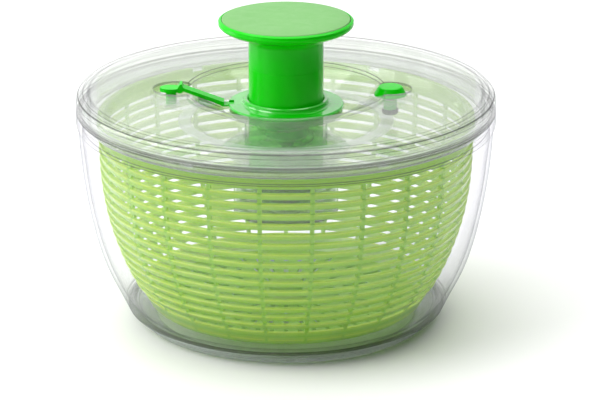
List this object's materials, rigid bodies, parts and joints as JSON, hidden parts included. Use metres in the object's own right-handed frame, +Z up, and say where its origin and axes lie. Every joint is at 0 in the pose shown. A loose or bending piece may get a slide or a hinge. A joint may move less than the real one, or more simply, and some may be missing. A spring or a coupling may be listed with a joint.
{
  "type": "salad spinner",
  "caption": "Round salad spinner: clear bowl on a grip ring, slotted green basket, clear lid with a push plunger, sliding lock lever and brake button.",
  "frame": {"origin": "centre of the base ring's underside, on the table", "axes": "+Z up along the plunger's axis; the lock lever points along -X and the brake button along +X"},
  "size_m": [0.267, 0.267, 0.1978],
  "materials": {
    "clear_plastic": "clear polished",
    "lid_plastic": "clear polished",
    "disc_plastic": "clear moulded",
    "cup_plastic": "clear, faintly green",
    "frosted_plastic": "frosted",
    "grip_ring": "translucent soft grip",
    "basket_green": "translucent yellow-green",
    "housing_green": "translucent green",
    "green_gloss": "polished green",
    "green_soft": "soft-touch pale green",
    "white_plastic": "moulded",
    "shaft_plastic": "moulded",
    "seal": "translucent silicone",
    "brake_rubber": "soft",
    "steel": "satin"
  },
  "bodies": {
    "bowl": {"bowl": "clear_plastic", "base_ring": "grip_ring"},
    "pivot": {"pivot_bush": "white_plastic"},
    "basket": {"basket": "basket_green"},
    "lid": {"lid_cover": "lid_plastic", "lid_seal": "seal", "collar": "green_gloss", "pump_housing": "housing_green", "housing_screws": "steel", "thrust_washer": "steel", "retaining_clip": "steel", "spring_seat": "steel", "return_spring": "steel", "brake_spring": "steel"},
    "disc": {"drive_disc": "disc_plastic", "brake_track": "frosted_plastic", "hub_cup": "cup_plastic", "cup_screws": "steel", "cup_cap": "cup_plastic", "clutch_crown": "white_plastic"},
    "knob": {"knob_head": "green_gloss", "knob_barrel": "green_gloss", "knob_top_pad": "green_soft", "drive_nut": "white_plastic", "nut_screws": "steel"},
    "shaft": {"spiral_shaft": "shaft_plastic", "shaft_cap": "steel", "clutch_wheel": "white_plastic"},
    "lock": {"lock_lever": "green_gloss", "lever_clip": "white_plastic"},
    "brake": {"brake_button": "green_gloss", "brake_pad": "brake_rubber"}
  },
  "joints": [
    {"name": "basket_lift", "type": "slide", "parent": "bowl", "child": "pivot", "axis": [0, 0, 1], "range_m": [0, 0.15]},
    {"name": "basket_spin", "type": "hinge", "parent": "pivot", "child": "basket", "pos_m": [0, 0, 0.02], "axis": [0, 0, 1], "continuous": true},
    {"name": "lid_lift", "type": "slide", "parent": "pivot", "child": "lid", "axis": [0, 0, 1], "range_m": [0, 0.15]},
    {"name": "disc_spin", "type": "hinge", "parent": "lid", "child": "disc", "pos_m": [0, 0, 0.1], "axis": [0, 0, 1], "continuous": true},
    {"name": "knob_press", "type": "slide", "parent": "lid", "child": "knob", "axis": [0, 0, -1], "range_m": [0, 0.039], "stiffness_N_per_m": 150, "springref_m": -0.04, "deforming": ["return_spring"]},
    {"name": "shaft_turn", "type": "hinge", "parent": "lid", "child": "shaft", "pos_m": [0, 0, 0.1], "axis": [0, 0, 1], "range_deg": [0, 541]},
    {"name": "lock_slide", "type": "slide", "parent": "lid", "child": "lock", "axis": [1, 0, 0], "range_m": [0, 0.006]},
    {"name": "brake_press", "type": "slide", "parent": "lid", "child": "brake", "axis": [0, 0, -1], "range_m": [0, 0.003], "stiffness_N_per_m": 400, "springref_m": -0.004, "deforming": ["brake_spring"]}
  ],
  "couplings": [
    {"joint": "shaft_turn", "follows": "knob_press", "rad_per_m": 241.66},
    {"joint": "disc_spin", "follows": "basket_spin", "ratio": 1}
  ]
}
